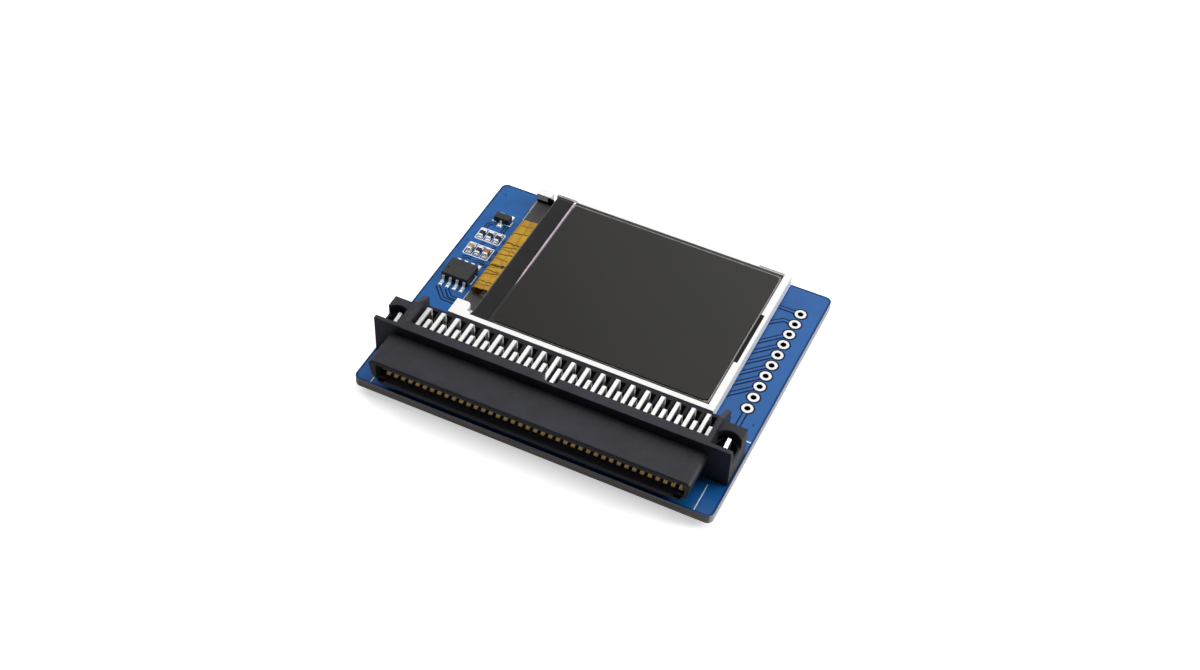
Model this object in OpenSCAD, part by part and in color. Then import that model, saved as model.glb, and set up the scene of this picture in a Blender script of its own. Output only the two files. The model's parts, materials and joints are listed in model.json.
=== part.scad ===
// TFT display module: a colour panel on a small carrier board with a card-edge connector.
// Origin: centre of the outline, at the level of the solder tails' tips. X runs along the
// connector, Y from the connector's mouth to the display, Z up. Millimetres.

/* [Board] */
// Width of the board along the connector
board_w = 61; // [60.6:0.1:66]
// Depth of the board, from the connector's mouth to the display's back edge
board_d = 51; // [50:0.1:56]
// Thickness of the board
board_t = 1.6; // [1:0.1:2.4]
// Radius of the board's corners
board_corner_r = 1.1; // [0.5:0.1:3]

/* [Header holes] */
// Number of header holes
header_count = 10; // [2:1:12]
// Pitch of the header holes
header_pitch = 2.54; // [2:0.01:2.54]
// Bore of a plated header hole
header_bore_d = 1; // [0.8:0.05:1.3]
// Outer diameter of a header ring
header_ring_d = 1.9; // [1.7:0.05:2.2]
// Distance from the board's right edge to the header row
header_edge = 3.5; // [2.5:0.1:3.6]
// Distance from the board's back edge to the first header hole
header_back = 5.8; // [4:0.1:7]
// Thickness of plating and pads
plating_t = 0.05; // [0.03:0.01:0.1]

/* [Connector] */
// Contact positions in one row
ways = 40; // [20:2:40]
// Distance from the board's side to the middle of the end contact
contact_side = 5.735; // [5.7:0.005:6.2]
// Width of a contact
contact_w = 0.6; // [0.4:0.05:0.65]
// Thickness of a contact
contact_t = 0.35; // [0.25:0.05:0.45]
// Height of the card slot's middle above the board
slot_mid = 3.2; // [3:0.1:3.4]
// Height of the card slot
slot_h = 1.8; // [1.6:0.1:2]
// Depth of the card slot
slot_depth = 7.2; // [5.5:0.1:7.2]
// Height of the flared mouth at the front
mouth_h = 2.8; // [2.4:0.1:3]
// Depth of the mouth's flare
mouth_flare = 0.9; // [0.5:0.1:1]
// Height from the slot's middle to a contact's straight run
run_offset = 1.5; // [1.4:0.05:1.6]
// Depth of the shroud in front of the flange
shroud_len = 6.65; // [5.5:0.05:7]
// Shift of the shroud, its slot and its mouth to the left of the flange
shroud_shift = 0.36; // [0:0.02:0.4]
// Radius of the shroud's two long top edges at its sides
shroud_side_r = 0.9; // [0.4:0.1:1.2]
// Height of the shroud
shroud_h = 4.5; // [4.4:0.1:4.8]
// Distance from the end contact to the shroud's side
shroud_end = 2.385; // [2.2:0.05:3]
// Inward lean of the shroud's sides from top to bottom
shroud_lean = 0.55; // [0:0.05:0.9]
// Chamfer of the shroud's lower corners
shroud_chamfer = 1.4; // [0.6:0.1:1.5]
// Height of the flange bar above the board
flange_h = 7.36; // [6.4:0.1:8.5]
// Thickness of the flange bar across the contacts
bar_t = 1.75; // [1.6:0.05:2.2]
// Thickness of the flange in front of the ear pockets
ear_front_t = 0.7; // [0.5:0.05:0.9]
// Thickness of an end fin
fin_t = 0.75; // [0.6:0.05:0.9]
// Height of a fin's tail end
fin_tail_h = 5.5; // [4:0.1:6]
// Length of the fin's level top behind the bar
fin_level_l = 4.2; // [3:0.1:5]
// Gap between the end contact's middle and the fin
fin_gap = 0.885; // [0.8:0.005:0.9]
// Width of an ear outside its fin
ear_w = 3.79; // [3.6:0.05:3.9]
// Height of the ear's low body
ear_h = 4.15; // [3.5:0.05:5]
// Height of the ear's back wall
ear_back_h = 6.05; // [5.2:0.05:7]
// Thickness of the ear's back wall
ear_back_t = 2.3; // [1.6:0.1:2.6]
// Distance from the flange's front face to the ear's back
ear_d = 6.75; // [6.7:0.05:7.1]
// Radius of the ear's round pocket
pocket_r = 1.7; // [1.4:0.05:1.7]
// Radius of the scoop in the ear's back wall
scoop_r = 2.28; // [2:0.02:2.4]
// Width of the notch in the middle of the bar's back
notch_w = 2.4; // [1.5:0.1:3]
// Depth of the notch in the middle of the bar's back
notch_d = 1.2; // [0.6:0.1:1.4]

// Distance from the end contact to the end of the card slot
slot_end = 1; // [0.9:0.05:1.2]
// Distance from the end contact to the end of the mouth
mouth_end = 1.05; // [1:0.05:1.3]
// Width of the small steps at the mouth's ends
step_w = 1.3; // [0.8:0.1:1.5]
// Height of the small steps above and below the mouth
step_h = 0.3; // [0.1:0.05:0.4]
// Depth of the small steps
step_d = 0.5; // [0.3:0.05:0.8]
// Radius of the shroud's top front edge
edge_r = 0.35; // [0.2:0.05:0.5]
// Radius of the notch's inner corners
notch_r = 0.5; // [0.3:0.05:0.6]
// Wall in front of the contact troughs
lip = 1.1; // [1:0.05:1.3]
// Room round a contact in its trough, in width
cavity_room = 0.15; // [0.1:0.01:0.2]
// Height of the bay in which the tails turn down
tail_bay_h = 2.45; // [2.3:0.05:2.6]
// Distance from the flange's front face to the bay
tail_bay_front = 0.61; // [0.5:0.01:0.7]
// Distance from the fin to the middle of the ear's pocket
pocket_side = 1.8; // [1.75:0.01:1.9]
// Distance from the ear's back wall to the middle of the pocket
pocket_back = 1.15; // [1:0.05:1.3]
// Distance from the pocket's middle forward to the scoop's middle
scoop_front = 0.3; // [0.2:0.05:0.4]

/* [Board locks] */
// Width of a board lock
lock_w = 0.6; // [0.5:0.05:0.8]
// Thickness of a board lock
lock_t = 0.35; // [0.25:0.05:0.4]
// Bore of a board lock's hole in the board
lock_hole_d = 1.6; // [1.5:0.05:1.8]
// Height of a board lock's arm above the ear's low body
lock_rise = 0.85; // [0.6:0.05:1]
// Fall of a board lock's arm from its leg to its front
lock_fall = 0.3; // [0.1:0.05:0.5]
// Length of a board lock's arm in front of its leg
lock_reach = 1.6; // [1.2:0.05:1.8]
// Distance from the pocket's back to a board lock's leg
lock_back = 0.45; // [0.4:0.05:0.6]
// Length of a board lock's turned-down front
lock_lip = 1.4; // [0.8:0.1:2]
// Length of a board lock below the board
lock_stick = 0.9; // [0.6:0.1:1.2]
// Widening of a board lock's solder at the board
lock_solder = 1; // [0.8:0.05:1.2]

/* [Contact springs] */
// Distance from the slot's inner end to a spring's root
arm_root = 0.3; // [0.2:0.05:0.5]
// Distance from the mouth to a spring's bump
arm_bump = 2.2; // [2:0.1:2.6]
// Length of a spring's level part behind its bump
arm_bump_l = 0.1; // [0.05:0.01:0.2]
// Distance from the mouth to a spring's tip
arm_tip = 1.3; // [1.25:0.05:1.6]
// Height from the slot's middle to a spring's bump
arm_bump_h = 0.45; // [0.4:0.05:0.6]
// Height from the slot's middle to a spring's tip
arm_tip_h = 1.05; // [0.9:0.05:1.1]

/* [Contact tails] */
// Distance from the flange's front face to the first row of tails
tail_row_first = 1.45; // [1.44:0.01:1.6]
// Spacing of the four rows of tails
tail_row_pitch = 2.2; // [2:0.05:2.2]
// Length of the tails below the board
tail_stick = 1.2; // [0.8:0.1:1.8]
// Inside radius of the tails' bends
bend_r = 0.3; // [0.2:0.05:0.4]
// Bore of a tail's hole in the board
tail_hole_d = 0.95; // [0.85:0.05:1.1]
// Height of a solder cone below the board
solder_h = 0.55; // [0.3:0.05:0.7]
// Base diameter of a solder cone
solder_d = 1.5; // [1.3:0.05:1.7]
// Tip diameter of a solder cone
solder_tip_d = 0.85; // [0.8:0.05:1]

/* [Tail guide] */
// Height of the tail guide
guide_h = 3.45; // [2.8:0.05:3.5]
// Thickness of the tail guide's floor
guide_floor_t = 0.8; // [0.5:0.1:1.2]
// Width of a rib of the tail guide
guide_rib_w = 0.55; // [0.45:0.05:0.65]
// Distance from the last row of tails to the guide's back
guide_back = 1.42; // [1.2:0.02:1.6]
// Thickness of the guide's back wall
guide_wall_t = 0.6; // [0.4:0.05:0.7]

/* [Display] */
// Distance from each side of the board to the display
display_side = 7.35; // [6.9:0.05:8.5]
// Gap between the connector's tail guide and the display
display_gap = 1.28; // [0.8:0.02:2]
// Distance from the board's back edge to the display
display_inset = 0.4; // [0.1:0.1:0.8]
// Thickness of the adhesive pad
pad_t = 0.25; // [0.2:0.05:0.4]
// Depth of the upper glass's face below the frame's rim, negative where it stands proud
rim_drop = -0.05; // [-0.15:0.05:0.3]
// Width of the frame's front rim
rim_front = 1.05; // [0.7:0.05:1.4]
// Width of the frame's back rim
rim_back = 0.65; // [0.5:0.05:1.2]
// Width of the frame's right rim
rim_right = 1.3; // [1:0.05:1.6]
// Width of the frame's left side, from its outline to the glass
rim_left = 3.4; // [3.3:0.05:3.8]
// Width of the shelf inside the frame that carries the glass
shelf_w = 0.9; // [0.6:0.1:1.2]
// Thickness of each of the two glasses
glass_t = 0.5; // [0.3:0.05:0.6]
// Thickness of each polarizer
polarizer_t = 0.2; // [0.1:0.02:0.24]
// Width of the lower glass's ledge
ledge_w = 3.25; // [2.8:0.05:3.6]
// Margin from the upper glass's front and right edges to the polarizer
polarizer_margin = 0.3; // [0.2:0.05:0.8]
// Margin from the upper glass's left edge to the polarizer
polarizer_margin_left = 0.6; // [0.3:0.05:1]
// Margin from the upper glass's back edge to the polarizer
polarizer_margin_back = 0.95; // [0.3:0.05:1.3]
// Radius of the polarizer's corners
polarizer_r = 0.8; // [0.3:0.1:1.5]
// Thickness of the light guide
light_guide_t = 0.52; // [0.4:0.02:0.7]
// Thickness of each optical film and of the reflector
film_t = 0.1; // [0.06:0.02:0.12]
// Clearance round the films and glasses
film_clear = 0.1; // [0.05:0.01:0.2]
// Length of the frame's front wing beside the recess of the tail
wing_front = 3.3; // [2.5:0.1:3.8]
// Length of the frame's back wing beside the recess of the tail
wing_back = 1.6; // [1.2:0.1:2.2]
// Thickness of the frame's floor in the recess of the tail
floor_t = 0.25; // [0.2:0.05:0.4]
// Length of the slim slot in the right rim
rim_slot_l = 11.6; // [8:0.1:14]
// Distance from the display's front edge to the slim slot
rim_slot_front = 11; // [8:0.1:13]
// Distance from the display's right edge to the outer side of the slim slot
rim_slot_out = 0.65; // [0.5:0.05:0.7]
// Width of the slim slot
rim_slot_w = 0.5; // [0.4:0.05:0.6]
// Depth of the slim slot
rim_slot_deep = 0.5; // [0.3:0.05:0.6]
// Width of the recess's neck beside the glass
recess_neck = 0.7; // [0.5:0.05:0.9]
// Length of the recess's neck beside the front wing
recess_neck_l = 1.8; // [1.2:0.1:2]
// Thickness of the light-shield tape
tape_t = 0.06; // [0.04:0.01:0.08]
// Margin of the light-shield tape inside its edges
tape_edge = 0.1; // [0.05:0.01:0.15]
// Overhang of the light-shield tape over the flexible tail
tape_over = 0.55; // [0.3:0.05:0.7]
// Margin of the adhesive pad inside the display's outline
pad_margin = 1; // [0.5:0.1:2]
// Width of a backlight lamp and of its strip
lamp_w = 0.8; // [0.6:0.05:1]
// Length of a backlight lamp
lamp_l = 2.6; // [2:0.1:3.5]
// Number of backlight lamps
lamp_count = 3; // [1:1:4]
// Gap between the lamps and the light guide
lamp_gap = 0.3; // [0.2:0.05:0.4]
// Distance from the backlight's ends to the lamp strip's ends
lamp_end = 2; // [1:0.1:3]
// Height of the driver chip
driver_h = 0.2; // [0.15:0.05:0.3]
// Width of the driver chip
driver_w = 0.9; // [0.7:0.05:1]
// Distance from the flexible tail's side edges to the driver chip's ends
driver_end = 2.45; // [1.5:0.05:4]
// Gap between the flexible tail's bonded edge and the driver chip
driver_gap = 0.3; // [0.2:0.05:0.4]

/* [Flexible tail] */
// Distance from the display's back edge to the flexible tail
flex_back = 8.2; // [8:0.1:11]
// Thickness of the flexible tail
flex_t = 0.12; // [0.08:0.01:0.15]
// Distance from the display's front edge to the flexible tail
flex_front = 7.1; // [6.5:0.1:8]
// Distance from the frame's left edge to the outside of the tail's fold
flex_inset = 0.35; // [0.2:0.05:0.6]
// Overlap of the tail on the glass ledge
flex_bond = 0.9; // [0.6:0.05:1]
// Length of the tail's end under the display
flex_under = 7; // [4:0.1:9]
// Widening of the tail's end under the display, towards the back
flex_widen = 6.8; // [4:0.1:7]
// Width of the tail's widened end behind the fold's axis
flex_wide_w = 5; // [3:0.1:6]
// Reach of the tail's widened end beyond the display's left edge
flex_wide_out = 0.3; // [0.1:0.05:0.4]
// Distance from the tail's back side to the step where its end widens to the left
flex_step = 4.4; // [1:0.1:4.6]
// Width of the opening in the frame's floor behind the fold's axis
flex_cut = 0.6; // [0.4:0.05:0.8]
// Gap between the flexible tail and the opening's ends
flex_room = 0.1; // [0.05:0.01:0.15]
// Height of the flexible tail's lower layer above the board
flex_bottom = 0.02; // [0.01:0.01:0.05]

/* [Small parts] */
// Distance from the board's left edge to the memory chip's middle
chip_edge = 4.05; // [3.9:0.05:4.1]
// Distance from the board's back edge to the memory chip's middle
chip_back = 23.55; // [22:0.05:25]
// Length of the memory chip's body
chip_l = 4.9; // [4.8:0.05:5]
// Width of the memory chip's body
chip_w = 3.8; // [3.6:0.05:4]
// Height of the memory chip's body
chip_h = 1.4; // [1.1:0.05:1.75]
// Span of the memory chip's leads
chip_span = 6; // [5.8:0.05:6.2]
// Height of the memory chip's body above the board
chip_standoff = 0.15; // [0.1:0.01:0.2]
// Radius of the round mark on the memory chip
chip_mark_r = 0.25; // [0.15:0.05:0.35]
// Distance from the memory chip's left side to the round mark
chip_mark_x = 0.65; // [0.5:0.05:0.8]
// Distance from the memory chip's front side to the round mark
chip_mark_y = 1.35; // [1:0.05:1.6]
// Depth of the round mark
chip_mark_deep = 0.08; // [0.05:0.01:0.1]
// Pitch of the memory chip's leads
lead_pitch = 1.27; // [1.2:0.01:1.3]
// Width of a lead
lead_w = 0.42; // [0.35:0.01:0.5]
// Thickness of the memory chip's leads
lead_t = 0.2; // [0.15:0.01:0.22]
// Length of a lead's foot, with its bend
foot_l = 0.6; // [0.55:0.05:0.7]
// Width of the memory chip's pads
chip_pad_w = 0.6; // [0.5:0.05:0.7]
// Length of the memory chip's pads
chip_pad_l = 1.2; // [1:0.05:1.4]
// Inward shift of the memory chip's pads from its leads' tips
chip_pad_in = 0.1; // [0:0.02:0.2]
// Draft of the moulded bodies' sides
draft = 0.12; // [0.05:0.01:0.15]
// Length of the transistor's body
transistor_l = 2.9; // [2.8:0.05:3]
// Width of the transistor's body
transistor_w = 1.3; // [1.2:0.05:1.4]
// Height of the transistor's body
transistor_h = 1; // [0.8:0.05:1.1]
// Span of the transistor's leads
transistor_span = 2.5; // [2.4:0.05:2.6]
// Height of the transistor's body above the board
transistor_standoff = 0.1; // [0.08:0.01:0.15]
// Distance from the transistor's middle to its outer leads
transistor_lead_x = 0.95; // [0.9:0.01:1]
// Thickness of the transistor's leads
transistor_lead_t = 0.12; // [0.1:0.01:0.15]
// Distance from the transistor's body to the knee of a lead
transistor_knee = 0.2; // [0.18:0.01:0.22]
// Length in which the transistor's leads turn down
transistor_drop = 0.1; // [0.08:0.01:0.12]
// Size of the transistor's square pads
transistor_pad = 0.9; // [0.8:0.05:1]
// Rightward shift of the transistor from the memory chip's middle
transistor_shift = 0.2; // [0:0.05:0.3]
// Distance from the board's back edge to the transistor
transistor_back = 8.6; // [7.5:0.05:9]
// Length of a chip resistor or capacitor
part_l = 1.6; // [1.5:0.05:1.65]
// Width of a chip resistor or capacitor
part_w = 0.8; // [0.7:0.05:0.85]
// Height of a chip resistor
resistor_h = 0.45; // [0.35:0.05:0.55]
// Height of a chip capacitor
capacitor_h = 0.8; // [0.6:0.05:0.85]
// Length of a part's end terminal
terminal_l = 0.35; // [0.2:0.05:0.4]
// Side margin of the pads under the chip parts
part_pad_side = 0.05; // [0:0.01:0.1]
// Length of the pads under the chip parts
part_pad_l = 0.6; // [0.5:0.05:0.7]
// Outward shift of the pads from the chip parts' ends
part_pad_out = 0.05; // [0:0.01:0.15]
// Rightward shift of the rows from the memory chip's middle
row_shift = 0.05; // [0:0.05:0.2]
// Pitch of the parts in a row
part_pitch = 1.5; // [1.4:0.05:1.55]
// Distance from the board's back edge to the back row of parts
row_a_back = 13.1; // [12.6:0.05:13.2]
// Distance from the board's back edge to the front row of parts
row_b_back = 17.1; // [16.8:0.05:17.6]

/* [Hidden] */
$fn = 48;
eps = 0.01;
past = 1;

// Levels and edges
board_top = tail_stick + board_t;
front_y = -board_d / 2;
back_y = board_d / 2;
left_x = -board_w / 2;
right_x = board_w / 2;

// Connector places
contact_pitch = (board_w - 2 * contact_side) / (ways - 1);
field_half = (ways - 1) * contact_pitch / 2;
shroud_half = field_half + shroud_end;
fin_in = field_half + fin_gap;
fin_out = fin_in + fin_t;
flange_half = fin_out + ear_w;
flange_y = front_y + shroud_len;
bar_back_y = flange_y + bar_t;
ear_back_y = flange_y + ear_d;
run_upper = slot_mid + run_offset;
run_lower = slot_mid - run_offset;
shroud_bottom = slot_mid - shroud_h / 2;
shroud_top = slot_mid + shroud_h / 2;
slot_half = field_half + slot_end;
mouth_half = field_half + mouth_end;
contact_fit = 0.03;
cavity_w = contact_w + cavity_room;
tail_bay_y = flange_y + tail_bay_front;
guide_fit = 0.05;
guide_back_y = flange_y + tail_row_first + 3 * tail_row_pitch + guide_back;
row_x_long = [for (k = [0:2:ways - 1]) -field_half + k * contact_pitch];
row_x_short = [for (k = [1:2:ways - 1]) -field_half + k * contact_pitch];
lock_x = fin_out + pocket_side;
pocket_y = ear_back_y - ear_back_t - pocket_back;
scoop_y = pocket_y - scoop_front;
lock_leg_y = pocket_y + pocket_r - lock_back;

function tail_y(row) = flange_y + tail_row_first + row * tail_row_pitch;

// Display places, heights above the board
display_back = back_y - display_inset;
display_front = guide_back_y + display_gap;
display_left = left_x + display_side;
display_right = right_x - display_side;
glass_left = display_left + rim_left;
glass_right = display_right - rim_right;
glass_front = display_front + rim_front;
glass_back = display_back - rim_back;
stack_gap = 0.03;
guide_z = pad_t + film_t;
diffuser_z = guide_z + light_guide_t;
prism_a_z = diffuser_z + film_t;
prism_b_z = prism_a_z + film_t;
rear_polarizer_z = prism_b_z + film_t + stack_gap;
lower_glass_bottom = rear_polarizer_z + polarizer_t;
lower_glass_top = lower_glass_bottom + glass_t;
glass_top = lower_glass_top + glass_t;
frame_top = glass_top + rim_drop;
well_left = glass_left + shelf_w;
well_right = glass_right - shelf_w;
well_front = glass_front + shelf_w;
well_back = glass_back - shelf_w;
upper_glass_left = glass_left + ledge_w;

// Places of the flexible tail and its recess
recess_front = display_front + wing_front;
recess_back = display_back - wing_back;
recess_right = glass_left - film_clear;
recess_floor = pad_t + floor_t;
flex_y0 = display_front + flex_front;
flex_y1 = display_back - flex_back;
flex_len = flex_y1 - flex_y0;
flex_top = lower_glass_top + flex_t;
flex_fold_r = (flex_top - flex_bottom) / 2;
flex_fold_x = display_left + flex_inset + flex_fold_r;
flex_cut_x = flex_fold_x + flex_cut;
flex_end_x = flex_fold_x + flex_under;

// Places of the small parts
chip_x = left_x + chip_edge;
chip_y = back_y - chip_back;
chip_lead_z = chip_standoff + (chip_h - lead_t) / 2;
transistor_x = left_x + chip_edge + transistor_shift;
transistor_lead_z = transistor_standoff + transistor_h / 2 - lead_t / 2;
transistor_y = back_y - transistor_back;
row_x = [for (k = [-1, 0, 1]) left_x + chip_edge + row_shift + k * part_pitch];
row_a_y = back_y - row_a_back;
row_b_y = back_y - row_b_back;

// Header places
header_x = right_x - header_edge;
function header_y(k) = back_y - header_back - k * header_pitch;

// ---------------------------------------------------------------- helpers

// A box given by its low and high corners
module block(low, high) {
    translate(low) cube(high - low);
}

// The same, measured in height from the board's top face
module on_board(low, high) {
    block([low[0], low[1], board_top + low[2]], [high[0], high[1], board_top + high[2]]);
}

// An outline in Y and Z, extruded along X about the middle x
module slice_x(x, width) {
    translate([x - width / 2, 0, board_top])
        rotate([90, 0, 90])
            linear_extrude(width) children();
}

// A flat outline with round corners
module round_rect(low, high, r) {
    size = high - low;
    translate(low + [r, r]) {
        translate([-r, 0]) square([size[0], size[1] - 2 * r]);
        translate([0, -r]) square([size[0] - 2 * r, size[1]]);
        for (x = [0, size[0] - 2 * r], y = [0, size[1] - 2 * r]) translate([x, y]) circle(r);
    }
}

// ---------------------------------------------------------------- board

module circuit_board() {
    color("#2f66a6")
    translate([0, 0, tail_stick])
    linear_extrude(board_t)
    difference() {
        round_rect([left_x, front_y], [right_x, back_y], board_corner_r);
        for (k = [0:header_count - 1])
            translate([header_x, header_y(k)]) circle(d = header_bore_d + 2 * plating_t);
        for (row = [0, 2], x = row_x_short) translate([x, tail_y(row)]) circle(d = tail_hole_d);
        for (row = [1, 3], x = row_x_long) translate([x, tail_y(row)]) circle(d = tail_hole_d);
        for (side = [-1, 1])
            translate([side * lock_x, lock_leg_y]) circle(d = lock_hole_d);
    }
}

// One plated hole: a barrel with a ring on each face of the board
module plated_hole() {
    difference() {
        union() {
            translate([0, 0, -board_t - plating_t]) cylinder(d = header_ring_d, h = plating_t);
            translate([0, 0, -board_t - plating_t])
                cylinder(d = header_bore_d + 2 * plating_t, h = board_t + 2 * plating_t);
            cylinder(d = header_ring_d, h = plating_t);
        }
        translate([0, 0, -board_t - past]) cylinder(d = header_bore_d, h = board_t + 2 * past);
    }
}

module header_plating() {
    color("#d9dbdd")
    for (k = [0:header_count - 1])
        translate([header_x, header_y(k), board_top]) plated_hole();
}

// A tinned pad on the board's top face
module pad(x, y, w, l) {
    on_board([x - w / 2, y - l / 2, 0], [x + w / 2, y + l / 2, plating_t]);
}

module surface_pads() {
    color("#d9dbdd") {
        for (k = [-1.5:1:1.5], side = [-1, 1])
            pad(chip_x + k * lead_pitch, chip_y + side * (chip_span / 2 - chip_pad_in),
                chip_pad_w, chip_pad_l);
        for (k = [-1, 1])
            pad(transistor_x + k * transistor_lead_x, transistor_y + transistor_span / 2,
                transistor_pad, transistor_pad);
        pad(transistor_x, transistor_y - transistor_span / 2, transistor_pad, transistor_pad);
        for (y = [row_a_y, row_b_y], x = row_x, side = [-1, 1])
            pad(x, y + side * (part_l / 2 + part_pad_out), part_w + 2 * part_pad_side, part_pad_l);
    }
}

// ---------------------------------------------------------------- connector

// Half outline of the shroud in X and Z, from its middle out
function shroud_half_outline() = [
    [0, shroud_top],
    [shroud_half, shroud_top],
    [shroud_half - shroud_lean, shroud_bottom + shroud_chamfer],
    [shroud_half - shroud_lean - shroud_chamfer, shroud_bottom],
    [0, shroud_bottom]];

module shroud() {
    round_x = shroud_half - shroud_side_r;
    round_z = shroud_top - shroud_side_r;
    translate([-shroud_shift, flange_y + eps, board_top])
        rotate([90, 0, 0])
            linear_extrude(shroud_len + eps)
                for (side = [0, 1]) mirror([side, 0])
                    difference() {
                        polygon(shroud_half_outline());
                        difference() {
                            translate([round_x, round_z]) square(shroud_side_r + past);
                            translate([round_x, round_z]) circle(shroud_side_r);
                        }
                    }
}

// Strip that leaves the shroud's top front edge round
module shroud_edge() {
    slice_x(0, 2 * (shroud_half + past))
        difference() {
            translate([front_y - past, shroud_top - edge_r]) square(past + edge_r);
            translate([front_y + edge_r, shroud_top - edge_r]) circle(edge_r);
            translate([front_y + edge_r, shroud_top - edge_r]) square(past);
        }
}

// Card slot with its flared mouth
module card_slot() {
    slice_x(-shroud_shift / 2, 2 * slot_half + shroud_shift)
        square_yz(front_y - past, front_y + slot_depth, slot_mid, slot_h);
    slice_x(-shroud_shift, 2 * mouth_half)
        polygon([[front_y - past, slot_mid - mouth_h / 2], [front_y, slot_mid - mouth_h / 2],
            [front_y + mouth_flare, slot_mid - slot_h / 2], [front_y + mouth_flare, slot_mid + slot_h / 2],
            [front_y, slot_mid + mouth_h / 2], [front_y - past, slot_mid + mouth_h / 2]]);
}

// A rectangle in Y and Z by its Y limits, middle height and height
module square_yz(y0, y1, z_mid, h) {
    translate([y0, z_mid - h / 2]) square([y1 - y0, h]);
}

// Small relief steps above and below the mouth at both ends
module mouth_steps() {
    for (side = [-1, 1])
        slice_x(side * (mouth_half - step_w / 2) - shroud_shift, step_w)
            square_yz(front_y - past, front_y + step_d, slot_mid, mouth_h + 2 * step_h);
}

// Cavities of one row of contacts: a trough beside the slot and a hole to the bar's back
module cavities(places, run_z, to_y) {
    trough_far = run_z + sign(run_z - slot_mid) * (contact_t / 2 + contact_fit);
    trough_h = abs(trough_far - slot_mid);
    for (x = places) {
        slice_x(x, cavity_w)
            square_yz(front_y + lip, front_y + slot_depth, (trough_far + slot_mid) / 2, trough_h);
        slice_x(x, contact_w + 2 * contact_fit)
            square_yz(front_y + slot_depth - past, to_y, run_z, contact_t + 2 * contact_fit);
    }
}

// Fin between the contacts and an ear
module fin(side) {
    slice_x(side * (fin_in + fin_t / 2), fin_t)
        polygon([[bar_back_y - eps, 0], [guide_back_y, 0], [guide_back_y, fin_tail_h],
            [bar_back_y + fin_level_l, flange_h], [bar_back_y - eps, flange_h]]);
}

// Ear with its low body, high back wall, round pocket and scoop
module ear(side) {
    low_x = min(side * (fin_out - eps), side * flange_half);
    high_x = max(side * (fin_out - eps), side * flange_half);
    difference() {
        union() {
            on_board([low_x, flange_y, 0], [high_x, flange_y + ear_front_t, flange_h]);
            on_board([low_x, flange_y, 0], [high_x, ear_back_y, ear_h]);
            on_board([low_x, ear_back_y - ear_back_t, 0], [high_x, ear_back_y, ear_back_h]);
        }
        translate([side * lock_x, pocket_y, board_top - past])
            cylinder(r = pocket_r, h = flange_h + 2 * past);
        translate([side * lock_x, scoop_y, board_top + ear_h]) cylinder(r = scoop_r, h = flange_h);
    }
}

module connector_housing() {
    color("#2b2c30")
    difference() {
        union() {
            shroud();
            on_board([-fin_out, flange_y, 0], [fin_out, bar_back_y, flange_h]);
            for (side = [-1, 1]) {
                fin(side);
                ear(side);
            }
        }
        card_slot();
        mouth_steps();
        cavities(concat(row_x_long, row_x_short), run_upper, bar_back_y + past);
        cavities(concat(row_x_long, row_x_short), run_lower, tail_bay_y + past);
        on_board([-fin_in, tail_bay_y, -eps], [fin_in, bar_back_y + eps, tail_bay_h]);
        translate([0, 0, board_top + run_upper - bend_r - contact_t])
            linear_extrude(flange_h)
                round_rect([-notch_w / 2, bar_back_y - notch_d], [notch_w / 2, bar_back_y + past], notch_r);
        shroud_edge();
    }
}

module tail_guide() {
    y0 = bar_back_y + guide_fit;
    split_y = (tail_y(2) + tail_y(3)) / 2;
    half = fin_in - guide_fit;
    color("#26272a")
    difference() {
        on_board([-half, y0, 0], [half, guide_back_y, guide_h]);
        for (x = row_x_short)
            on_board([x - contact_pitch + guide_rib_w / 2, y0 - past, guide_floor_t],
                [x + contact_pitch - guide_rib_w / 2, split_y, guide_h + past]);
        for (x = row_x_long)
            on_board([x - contact_pitch + guide_rib_w / 2, split_y - eps, guide_floor_t],
                [x + contact_pitch - guide_rib_w / 2, guide_back_y - guide_wall_t, guide_h + past]);
        for (row = [1, 3], x = row_x_long) guide_hole(x, tail_y(row));
        for (x = row_x_short) guide_hole(x, tail_y(2));
        // channels for the lower tails that turn down in the second row
        for (x = row_x_long)
            on_board([x - contact_w / 2 - contact_fit, y0 - past, -past],
                [x + contact_w / 2 + contact_fit, tail_y(1) + contact_t / 2 + contact_fit,
                    run_lower + contact_t / 2 + contact_fit]);
    }
}

// Hole of the guide's floor for one tail
module guide_hole(x, y) {
    w = contact_w / 2 + contact_fit;
    t = contact_t / 2 + contact_fit;
    on_board([x - w, y - t, -past], [x + w, y + t, guide_floor_t + past]);
}

// Outline in Y and Z of a contact's straight run, bend and leg
module run_and_leg(run_z, from_y, leg_y) {
    half = contact_t / 2;
    turn = bend_r + contact_t;
    bend_y = leg_y + half - turn;
    translate([from_y, run_z - half]) square([bend_y - from_y, contact_t]);
    translate([bend_y, run_z + half - turn])
        intersection() {
            difference() {
                circle(turn);
                circle(bend_r);
            }
            square(turn);
        }
    translate([leg_y - half, -board_top]) square([contact_t, run_z + half - turn + board_top]);
}

// Outline of the spring arm in the slot, for a contact above (up = 1) or below (up = -1)
module spring_arm(run_z, up) {
    root_y = front_y + slot_depth - arm_root;
    bump_y = front_y + arm_bump;
    tip_y = front_y + arm_tip;
    half = contact_t / 2;
    bump_z = slot_mid + up * arm_bump_h;
    tip_z = slot_mid + up * arm_tip_h;
    polygon([[root_y, run_z - up * half], [bump_y, bump_z], [tip_y, tip_z - up * half / 2],
        [tip_y, tip_z + up * half], [bump_y + arm_bump_l, bump_z + up * contact_t],
        [root_y, run_z + up * half]]);
}

module contact(x, run_z, up, leg_y) {
    root_y = front_y + slot_depth - arm_root;
    slice_x(x, contact_w) {
        spring_arm(run_z, up);
        run_and_leg(run_z, root_y, leg_y);
    }
}

module upper_contacts_long() {
    color("#dfe1e3")
    for (x = row_x_long) contact(x, run_upper, 1, tail_y(3));
}

module upper_contacts_short() {
    color("#dfe1e3")
    for (x = row_x_short) contact(x, run_upper, 1, tail_y(2));
}

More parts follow.
